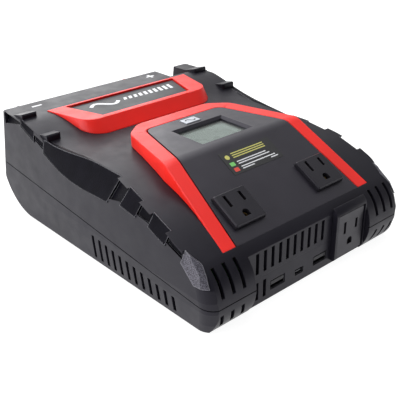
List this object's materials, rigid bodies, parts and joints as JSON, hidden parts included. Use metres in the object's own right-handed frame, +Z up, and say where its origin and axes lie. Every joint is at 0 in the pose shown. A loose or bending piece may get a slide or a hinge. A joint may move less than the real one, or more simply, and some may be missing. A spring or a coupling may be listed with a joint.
{
  "type": "power inverter",
  "caption": "Wedge-shaped power inverter with a sloping outlet panel, display, USB ports, cooling fan and screw-down battery terminals.",
  "frame": {"origin": "on the ground, under the middle of the inverter, terminal knobs included", "axes": "+Z up, -Y out of the front with its outlet and USB ports, +X to the right seen from the front"},
  "size_m": [0.1932, 0.27, 0.0876],
  "materials": {
    "black_shell": "satin moulded ABS",
    "guard_black": "coarse textured moulding",
    "red_shell": "satin red moulding",
    "panel_black": "fine textured moulding",
    "label_grey": "printed satin plate",
    "socket_black": "satin moulding",
    "brass": "rolled strip",
    "steel": "zinc plated",
    "chrome": "bright nickel",
    "aluminium": "extruded",
    "pcb_green": "solder resist",
    "component_black": "moulded epoxy",
    "ferrite": "sintered",
    "winding_tape": "polyester tape",
    "capacitor_sleeve": "shrunk sleeve",
    "copper": "enamelled copper",
    "fuse_plastic": "clear coloured",
    "fan_black": "moulded",
    "red_plastic": "gloss moulding",
    "black_plastic": "gloss moulding",
    "rubber": "matt",
    "lens_clear": "clear acrylic",
    "lcd_grey": "unlit display",
    "badge_silver": "printed plate",
    "port_plastic": "moulded",
    "port_metal": "blackened shell"
  },
  "bodies": {
    "housing": {"top_cover": "black_shell", "bottom_housing": "black_shell", "left_shoulder_guard": "guard_black", "right_shoulder_guard": "guard_black", "panel_frame": "red_shell", "control_panel": "panel_black", "lcd_lens": "lens_clear", "lcd_module": "lcd_grey", "display_board": "pcb_green", "badge_plate": "badge_silver", "rear_bezel": "red_shell", "label_plate": "label_grey", "left_socket": "socket_black", "right_socket": "socket_black", "front_socket": "socket_black", "front_socket_surround": "black_shell", "left_socket_contacts": "brass", "right_socket_contacts": "brass", "front_socket_contacts": "brass", "usb_board": "pcb_green", "usb_ports": "port_metal", "usb_tongues": "port_plastic", "remote_port": "port_metal", "main_board": "pcb_green", "board_screws": "steel", "left_heat_sink": "aluminium", "right_heat_sink": "aluminium", "power_transistors": "component_black", "transformer_cores": "ferrite", "transformer_windings": "winding_tape", "capacitors": "capacitor_sleeve", "output_choke": "copper", "fuses": "fuse_plastic", "rear_panel": "black_shell", "fan_frame": "fan_black", "fan_guard": "chrome", "fan_screws": "steel", "negative_collar": "black_plastic", "positive_collar": "red_plastic", "terminal_studs": "brass", "stud_nuts": "steel", "bus_straps": "copper", "switch_body": "black_plastic", "case_screws": "steel", "rubber_feet": "rubber"},
    "fan_rotor": {"fan_rotor": "fan_black"},
    "rocker": {"power_rocker": "red_plastic"},
    "negative_washer": {"negative_washer": "steel"},
    "negative_knob": {"negative_knob": "black_plastic"},
    "positive_washer": {"positive_washer": "steel"},
    "positive_knob": {"positive_knob": "red_plastic"}
  },
  "joints": [
    {"name": "fan_spin", "type": "hinge", "parent": "housing", "child": "fan_rotor", "pos_m": [-0.014, 0.093, 0.045], "axis": [0, 1, 0], "continuous": true},
    {"name": "power_switch", "type": "hinge", "parent": "housing", "child": "rocker", "pos_m": [0.069, 0.0988, 0.067], "axis": [-1, 0, 0], "range_deg": [0, 18]},
    {"name": "negative_washer_slide", "type": "slide", "parent": "housing", "child": "negative_washer", "axis": [0, 1, 0], "range_m": [0, 0.0045]},
    {"name": "negative_knob_turn", "type": "hinge", "parent": "negative_washer", "child": "negative_knob", "pos_m": [-0.069, 0.123, 0.065], "axis": [0, 1, 0], "range_deg": [0, 1081]},
    {"name": "positive_washer_slide", "type": "slide", "parent": "housing", "child": "positive_washer", "axis": [0, 1, 0], "range_m": [0, 0.0045]},
    {"name": "positive_knob_turn", "type": "hinge", "parent": "positive_washer", "child": "positive_knob", "pos_m": [0.04, 0.123, 0.065], "axis": [0, 1, 0], "range_deg": [0, 1081]}
  ],
  "couplings": [
    {"joint": "negative_knob_turn", "follows": "negative_washer_slide", "rad_per_m": 4188.8},
    {"joint": "positive_knob_turn", "follows": "positive_washer_slide", "rad_per_m": 4188.8}
  ]
}
